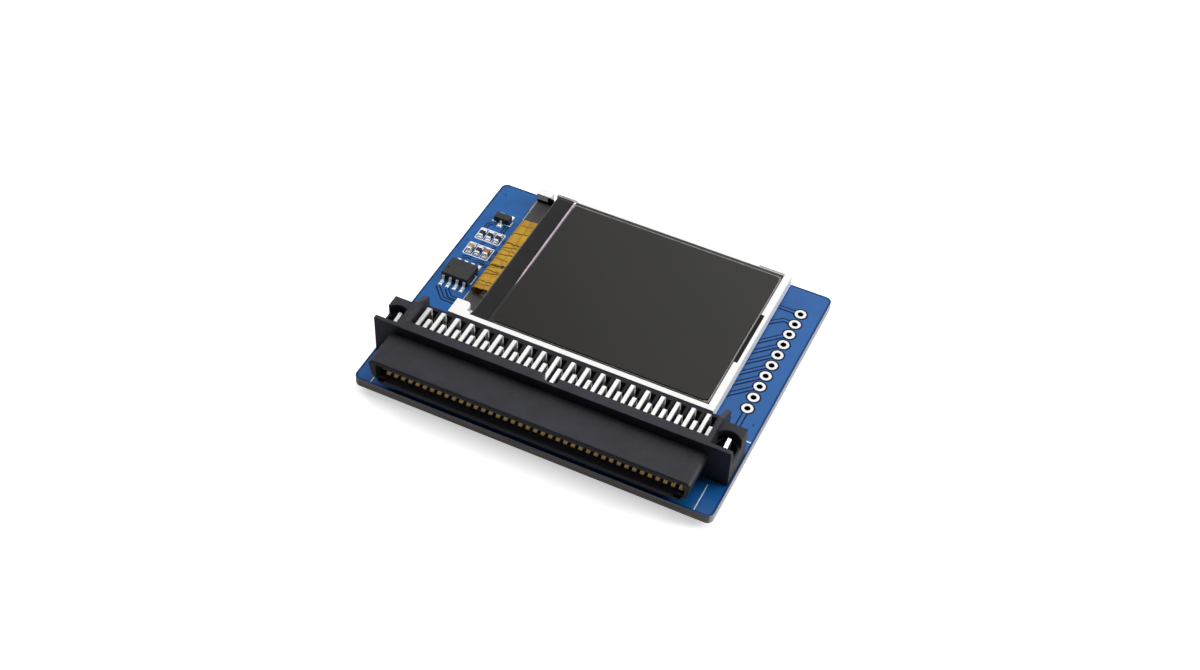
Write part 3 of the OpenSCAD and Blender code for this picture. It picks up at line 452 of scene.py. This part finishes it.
ring_d = (ring_high.x - ring_low.x) / MM
hole_x = board_x((ring_high.x + ring_low.x) / 2)
hole_first = board_y(ring_high.y) - ring_d / 2
hole_last = board_y(ring_low.y) + ring_d / 2
count = 10
pitch = (hole_first - hole_last) / (count - 1)
under = board_x(frame_high.x) - 0.6  # where the tracks go out of sight below the frame
hole_track_w = 0.42
for i in range(count):
    y = hole_first - i * pitch
    gaps.ribbon(circle(hole_x, y, ring_d / 2 + gap_w / 2 + 0.04, 40), gap_w, sunk, gap_top, True)
    if i == 0:
        track([(hole_x - 1.0, y + 0.07), (under, y + 0.07)], hole_track_w)
    elif i == 1:
        track([(hole_x - 1.0, y + 0.1), (hole_x - 2.1, y + 0.08), (under, y - 1.95)],
              hole_track_w)
    elif i < 8:
        track([(hole_x - 0.75, y - 0.72), (under, y - 4.3)], hole_track_w)
    elif i == 9:
        track([(hole_x + 0.02, y - 1.05), (hole_x + 0.02, y - 6.0)], 0.5)

# tracks by the memory chip, under the rows and by the transistor
chip_front = board_y(chip_leads_low.y)
for path, width in (
    ([(-28.6, chip_front - 0.7), (-26.45, chip_front - 3.0), (-23.3, chip_front - 3.05)], 0.3),
    ([(-26.9, chip_front - 0.7), (-25.6, chip_front - 2.1), (-23.3, chip_front - 2.15)], 0.3),
    ([(-27.5, 15.5), (-28.1, 14.95), (-28.1, 14.0)], 0.2),
    ([(-25.0, 16.0), (-25.0, 14.0)], 0.22),
    ([(-24.1, 12.3), (-22.9, 12.3)], 0.2),
    ([(-24.1, 9.3), (-22.9, 9.3)], 0.2),
    ([(-24.1, 7.55), (-22.9, 7.55)], 0.2),
    ([(-28.3, 5.9), (-27.4, 6.4), (-26.6, 6.4)], 0.2),
    ([(-26.1, 5.6), (-25.2, 6.3), (-24.2, 6.3)], 0.2),
    ([(-24.6, 5.5), (-23.2, 5.95)], 0.2),
    ([(-27.1, 10.4), (-26.4, 10.4)], 0.2),
    ([(-24.9, 10.3), (-24.3, 10.3)], 0.2),
):
    track(path, width)

# thin dark border where the copper stops short of the board's edge
border_x, border_y = half_x - 0.22, half_y - 0.22
gaps.ribbon(rounded(-border_x, -border_y, border_x, border_y, 0.95), 0.16, sunk, gap_top, True)

# filled vias
for x, y, r in ((-28.9, 22.9, 0.16), (29.1, -5.9, 0.14), (-29.5, 10.1, 0.12),
                (25.4, -6.1, 0.12), (-27.6, 20.6, 0.08)):
    vias.prism(circle(x, y, r, 20), sunk, via_top)

# white outlines
ink_w, ink_top = 0.17, 0.014
for low, high, r in (((-28.62, 11.08), (-24.15, 13.8), 0.22), ((-28.72, 7.0), (-24.2, 9.86), 0.22)):
    ink.ribbon(rounded(*low, *high, r), ink_w, sunk, ink_top, True)
for x in (-27.15, -25.65):
    ink.ribbon([(x, 11.1), (x, 13.75)], 0.1, sunk, ink_top)
    ink.ribbon([(x, 7.05), (x, 9.8)], 0.1, sunk, ink_top)
bracket = board_x(chip_high.x) + 0.12
ink.ribbon([(bracket - 0.36, 0.9), (bracket, 0.9), (bracket, 2.97), (bracket - 0.36, 2.97)], 0.16,
           sunk, ink_top)
ink.ribbon([(-27.96, 16.5), (-27.96, 16.15), (-27.2, 16.15)], 0.15, sunk, ink_top)
ink.ribbon([(-25.7, 16.15), (-24.62, 16.15), (-24.62, 17.4)], 0.15, sunk, ink_top)
for side in (-1, 1):
    ink.ribbon([(side * 27.5, -25.2), (side * 27.5, -19.9)], 0.15, sunk, ink_top)
ink.ribbon([(half_x - 1.1, -9.4), (half_x - 0.35, -9.4)], 0.2, sunk, ink_top)

piece("board_gaps", gaps, extra["gap"])
piece("board_tracks", tracks, extra["track"])
piece("board_vias", vias, extra["gap"])
piece("board_outlines", ink, extra["ink"])


# ---------------------------------------------------------------- solder on the small parts
def blob(build, x, y, rx, ry, h, z0=0.02, rings=5, n=14):
    """A low rounded mound of solder."""
    k = len(build.v)
    for i in range(rings):
        a = math.pi / 2 * i / rings
        for j in range(n):
            t = 2 * math.pi * j / n
            build.v.append(on_board(x + rx * math.cos(a) * math.cos(t),
                                    y + ry * math.cos(a) * math.sin(t), z0 + h * math.sin(a)))
    build.v.append(on_board(x, y, z0 + h))
    build.f.append(tuple(k + j for j in reversed(range(n))))
    for i in range(rings - 1):
        for j in range(n):
            m = (j + 1) % n
            a, b = k + i * n, k + (i + 1) * n
            build.f.append((a + j, a + m, b + m, b + j))
    a = k + (rings - 1) * n
    for j in range(n):
        build.f.append((a + j, a + (j + 1) % n, k + rings * n))


mounds = Build()
chip_mid = board_x((chip_low.x + chip_high.x) / 2)
lead_pitch = 1.27
for i in range(4):
    x = chip_mid + (i - 1.5) * lead_pitch
    blob(mounds, x, chip_front - 0.12, 0.27, 0.42, 0.2)
    blob(mounds, x, board_y(chip_leads_high.y) + 0.12, 0.27, 0.34, 0.2)
row_ys, part_xs = (12.4, 8.4), (-27.9, -26.4, -24.9)
for y in row_ys:
    for x in part_xs:
        for end in (-1, 1):
            blob(mounds, x, y + end * 0.95, 0.4, 0.3, 0.3)
t_mid = board_x((transistor_low.x + transistor_high.x) / 2)
t_front = board_y(transistor_low.y)
t_back = board_y(transistor_high.y)
blob(mounds, t_mid, t_front - 0.1, 0.3, 0.4, 0.2)
for side in (-1, 1):
    blob(mounds, t_mid + side * 0.95, t_back + 0.1, 0.32, 0.38, 0.2)
piece("solder_mounds", mounds, paints["solder"], True)


# ---------------------------------------------------------------- flexible tail
def flex_mesh():
    """The amber tail: from the glass ledge round the fold and under the frame, with creases."""
    thick = 0.12
    narrow_len = 17.9  # along the board, before the tail widens below the fold
    wide_step, wide_w = 4.4, 6.45
    x0, x1 = board_x(flex_low.x), board_x(flex_high.x)
    y0 = board_y(flex_low.y)
    y1 = y0 + narrow_len
    top, low = board_z(flex_high.z), board_z(flex_low.z)
    r = (top - low) / 2
    fold_x = x1 - 7.0
    mid_z = (top + low) / 2
    bond_x = board_x(lower_low.x) + 0.08
    lift = board_z(tape_high.z) + 0.025 - top
    # the tail seen from its end: across, height and the way its outer face looks
    line = []
    for i in range(24):
        x = bond_x + (fold_x - bond_x) * i / 24
        t = min(1.0, max(0.0, (x - bond_x + 1.25) / 0.45))
        line.append((x, top + lift * t * t * (3 - 2 * t), 0.0, 1.0))
    line += [(fold_x + r * math.cos(a), mid_z + r * math.sin(a), math.cos(a), math.sin(a))
             for a in (math.pi / 2 + math.pi * i / 20 for i in range(21))]
    line += [(fold_x + (x1 - fold_x) * i / 8, low, 0.0, -1.0) for i in range(1, 9)]
    # place along the tail, depth, half width and slant of each crease
    creases = ((13.3, 0.20, 0.08, 0.10), (10.7, 0.26, 0.10, -0.12), (9.5, 0.24, 0.07, 0.16),
               (8.9, 0.20, 0.06, -0.08), (7.7, 0.22, 0.08, 0.12), (6.6, 0.16, 0.07, -0.15),
               (4.9, 0.30, 0.20, 0.05), (4.3, 0.18, 0.06, 0.2), (3.5, 0.20, 0.07, -0.1),
               (2.7, 0.24, 0.07, 0.15), (0.8, 0.18, 0.08, -0.05), (-0.1, 0.14, 0.07, 0.1),
               (15.4, 0.12, 0.08, 0.05))
    ys = np.linspace(y0, y1, 320)
    v, f, dark = [], [], []
    n = len(line)
    for y in ys:
        for layer in (0, 1):
            for i, (x, z, nx, nz) in enumerate(line):
                slant = x - fold_x
                folds = [(d, ((y - c - s * slant) / w) ** 2) for c, d, w, s in creases]
                dip = sum(d * math.exp(-q) for d, q in folds)
                # painted shade: how dark the film is painted along each crease
                dark.append(min(1.0, sum(d * 4.5 * math.exp(-q * 1.6) for d, q in folds)))
                share = min(1.0, max(0.0, (bond_x - 0.15 - x) / 0.6)) if nz > 0.999 else 1.0
                if nz < -0.9:
                    share = max(0.0, (nz + 1) / 0.1)
                    dark[-1] = 0.0
                d = dip * share + (thick * layer)
                v.append(on_board(x - nx * d, y, z - nz * d))
    row = 2 * n
    for k in range(len(ys) - 1):
        a, b = k * row, (k + 1) * row
        for i in range(n - 1):
            f.append((a + i, a + i + 1, b + i + 1, b + i))
            f.append((a + n + i, b + n + i, b + n + i + 1, a + n + i + 1))
        f.append((a, b, b + n, a + n))
        f.append((a + n - 1, a + 2 * n - 1, b + 2 * n - 1, b + n - 1))
    for i in range(n - 1):
        f.append((i, n + i, n + i + 1, i + 1))
        e = (len(ys) - 1) * row
        f.append((e + i, e + i + 1, e + n + i + 1, e + n + i))
    body = Build()
    body.v, body.f = v, f
    # the wide flat end beyond the fold
    wide_y0, wide_y1 = y1 - 0.02, board_y(flex_high.y)
    step_y = wide_y0 + wide_step
    body.box((x0 + 0.02, step_y, low), (fold_x + 0.01, wide_y1, low + thick))
    body.box((fold_x, wide_y0, low), (x0 + wide_w, wide_y1, low + thick))
    tail = piece("amber_tail", body, paints["amber_film"])
    for poly in tail.data.polygons:
        poly.use_smooth = len(poly.vertices) == 4 and poly.index < (len(ys) - 1) * (2 * n)
    # painted shade values along the creases, read by the amber paint
    mark = tail.data.attributes.new("crease_shade", "FLOAT", "POINT")
    dark += [0.0] * (len(tail.data.vertices) - len(dark))
    mark.data.foreach_set("value", dark)
    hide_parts("flexible_tail")


flex_mesh()

# ---------------------------------------------------------------- lines round the display
z_glass, z_rim, z_tape = board_z(upper_high.z), board_z(frame_high.z), board_z(tape_high.z)
on_glass = (z_glass - 0.002, z_glass + 0.01)
on_rim = (z_rim - 0.002, z_rim + 0.008)
glass_left, glass_right = board_x(upper_low.x), board_x(upper_high.x)
glass_back = board_y(upper_high.y)
film_left, film_right = board_x(film_low.x), board_x(film_high.x)
film_front, film_back = board_y(film_low.y), board_y(film_high.y)
tape_left = board_x(lower_low.x) + 0.14

# painted highlight: a pale band on the bare glass beside the polarizer, where it catches the light
# towards the back
band = Build()
x0, x1 = glass_left + 0.05, glass_left + 0.37
band.prism([(x0, film_front + 11.5), (x0 + 0.16, film_front + 8.5), (x1, film_front + 11.5),
            (x1, glass_back - 0.2), (x0, glass_back - 0.2)], *on_glass)
piece("glass_margin_highlight_band", band, extra["glint"])
# painted highlight: a small light glint on the glass's back left corner
corner = Build()
corner.prism(circle(glass_left + 0.25, glass_back - 0.25, 0.2), z_glass - 0.002, z_glass + 0.014)
piece("glass_corner_glint", corner, extra["ink"])

# painted highlights: light lines along the polarizer's edges on the glass
lines = Build()
lines.ribbon([(film_left - 0.08, film_front + 14.0), (film_left - 0.08, film_back + 0.25),
              (film_left + 0.5, film_back + 0.33), (film_right - 0.6, film_back + 0.33)],
             0.14, *on_glass)
lines.ribbon([(film_right - 0.6, film_front - 0.14), (film_right + 0.10, film_front - 0.05),
              (film_right + 0.17, film_front + 0.6), (film_right + 0.17, film_back - 0.4),
              (film_right + 0.10, film_back + 0.2), (film_right - 0.7, film_back + 0.33)],
             0.22, *on_glass)
lines.ribbon([(film_left + 0.4, film_front - 0.14), (film_right - 0.6, film_front - 0.14)],
             0.07, *on_glass)
piece("glass_rim_highlight", lines, extra["edge_line"])

rim = Build()
rim.ribbon([(glass_right - 4.4, glass_back + 0.36), (glass_right + 0.1, glass_back + 0.36)], 0.34,
           *on_rim)
rim.ribbon([(glass_left - 3.3, glass_back + 0.32), (glass_left + 0.4, glass_back + 0.32)], 0.4,
           *on_rim)
piece("back_rim_line", rim, extra["beige_line"])

# painted highlight: a light line along the left and back edges of the tape on the ledge
edges = Build()
edges.ribbon([(tape_left + 0.05, film_front + 0.3), (tape_left + 0.05, glass_back - 0.75),
              (tape_left + 0.25, glass_back - 0.35), (tape_left + 0.65, glass_back - 0.18),
              (glass_left - 0.2, glass_back - 0.18)], 0.08, z_tape - 0.002, z_tape + 0.006)
piece("tape_edge_glint_line", edges, extra["tape_edge"])

# painted shade: a dark sheet inside the slot in the frame's right rim and a dark strip along its
# mouth
painted_shade = Build()
slot_w, slot_len, slot_mid = 0.49, 11.59, 0.22
slot_x0 = board_x(frame_high.x) - 1.145
slot_y0 = board_y(frame_low.y) + 11.005
slot_y1 = slot_y0 + slot_len
painted_shade.box((slot_x0, slot_y0, z_rim - 0.495), (slot_x0 + slot_w, slot_y1, z_rim - 0.04))
painted_shade.ribbon([(slot_x0 + slot_mid, slot_y0), (slot_x0 + slot_mid, slot_y1)], 0.62, *on_rim)
piece("rim_slot_painted_shade", painted_shade, extra["painted_shade"])

# painted shade on the foot and the right end of the rear wing's front wall
shade = Build()
wall_y = board_y(frame_high.y) - 1.6
wall_x0, wall_x1 = board_x(frame_low.x) + 0.1, board_x(lower_low.x) - 0.12
foot_z, foot_top, end_top = 0.57, 1.15, 2.2
shade.box((wall_x0, wall_y - 0.06, foot_z), (wall_x1, wall_y - 0.01, foot_top))
shade.box((wall_x0 + 2.0, wall_y - 0.06, foot_z), (wall_x1, wall_y - 0.01, end_top))
piece("rear_wing_shade", shade, extra["painted_shade"])

# ---------------------------------------------------------------- camera, light, floor
scene = bpy.context.scene
cam_data = bpy.data.cameras.new("camera")
cam = bpy.data.objects.new("camera", cam_data)
scene.collection.objects.link(cam)
scene.camera = cam
cam_data.sensor_width = 36.0
cam_data.lens = 54.70
cam_data.clip_start = 0.01
cam_data.clip_end = 10.0
# the camera's own right, down and forward, and its place from the middle of the board's top
right = Vector((0.9016936, 0.4307916, 0.0369766))
down = Vector((0.3361604, -0.6446896, -0.6865650))
ahead = Vector((-0.2719280, 0.6315014, -0.7261275))
away = Vector((0.0795403, -0.1845057, 0.2126306))
turn = Matrix((right, -down, -ahead)).transposed()
place = Vector((board_mid.x, board_mid.y, TOP)) + away
cam.matrix_world = Matrix.Translation(place) @ turn.to_4x4()

floor_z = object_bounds()[0].z
size = 3.0  # half the floor's side, in metres
floor_mesh = bpy.data.meshes.new("floor")
floor_mesh.from_pydata([(-size, -size, floor_z), (size, -size, floor_z), (size, size, floor_z),
                        (-size, size, floor_z)], [], [(0, 1, 2, 3)])
floor = bpy.data.objects.new("floor", floor_mesh)
scene.collection.objects.link(floor)


def floor_paint():
    """Near white to the camera, and a calmer grey in the light it throws back."""
    m = bpy.data.materials.new("floor")
    m.use_nodes = True
    t = m.node_tree
    t.nodes.clear()
    out = t.nodes.new("ShaderNodeOutputMaterial")
    seen = t.nodes.new("ShaderNodeBsdfDiffuse")
    seen.inputs["Color"].default_value = (0.95, 0.95, 0.95, 1)
    glow = t.nodes.new("ShaderNodeEmission")
    glow.inputs["Strength"].default_value = 0.55
    both = t.nodes.new("ShaderNodeAddShader")
    bounce = t.nodes.new("ShaderNodeBsdfDiffuse")
    bounce.inputs["Color"].default_value = (0.50, 0.50, 0.52, 1)
    light = t.nodes.new("ShaderNodeLightPath")
    pick = t.nodes.new("ShaderNodeMixShader")
    t.links.new(seen.outputs[0], both.inputs[0])
    t.links.new(glow.outputs[0], both.inputs[1])
    t.links.new(light.outputs["Is Camera Ray"], pick.inputs[0])
    t.links.new(bounce.outputs[0], pick.inputs[1])
    t.links.new(both.outputs[0], pick.inputs[2])
    t.links.new(pick.outputs[0], out.inputs["Surface"])
    return m


floor_mesh.materials.append(floor_paint())

# the room: dark in front, bright behind the object, and white where the camera sees it
world = bpy.data.worlds.new("studio")
scene.world = world
world.use_nodes = True
wt = world.node_tree
wt.nodes.clear()
wo = wt.nodes.new("ShaderNodeOutputWorld")
wb = wt.nodes.new("ShaderNodeBackground")
coord = wt.nodes.new("ShaderNodeTexCoord")
dot = wt.nodes.new("ShaderNodeVectorMath")
dot.operation = "DOT_PRODUCT"
dot.inputs[1].default_value = Vector((0.35, 0.85, 0.35)).normalized()
ramp = wt.nodes.new("ShaderNodeMapRange")
ramp.interpolation_type = "SMOOTHSTEP"
ramp.inputs["From Min"].default_value = 0.5
ramp.inputs["From Max"].default_value = 0.85
ramp.inputs["To Min"].default_value = 0.08
ramp.inputs["To Max"].default_value = 1.4
path = wt.nodes.new("ShaderNodeLightPath")
most = wt.nodes.new("ShaderNodeMath")
most.operation = "MAXIMUM"
wt.links.new(coord.outputs["Generated"], dot.inputs[0])
wt.links.new(dot.outputs["Value"], ramp.inputs["Value"])
wt.links.new(ramp.outputs[0], most.inputs[0])
wt.links.new(path.outputs["Is Camera Ray"], most.inputs[1])
wt.links.new(most.outputs[0], wb.inputs["Strength"])
wt.links.new(wb.outputs[0], wo.inputs["Surface"])


def softbox(name, spot, width, depth, power):
    """An even rectangular light that faces the origin."""
    data = bpy.data.lights.new(name, "AREA")
    data.shape = "RECTANGLE"
    data.size, data.size_y = width, depth
    data.energy = power
    lamp = bpy.data.objects.new(name, data)
    scene.collection.objects.link(lamp)
    lamp.location = spot
    lamp.rotation_mode = "QUATERNION"
    lamp.rotation_quaternion = (-Vector(spot)).to_track_quat("-Z", "Y")


softbox("top_softbox", (0.02, 0.08, 0.45), 0.30, 0.22, 0.70)
softbox("left_card", (-0.42, 0.08, 0.34), 0.36, 0.28, 1.3)
softbox("right_card", (0.40, 0.20, 0.26), 0.30, 0.20, 1.3)

scene.view_settings.view_transform = "Standard"
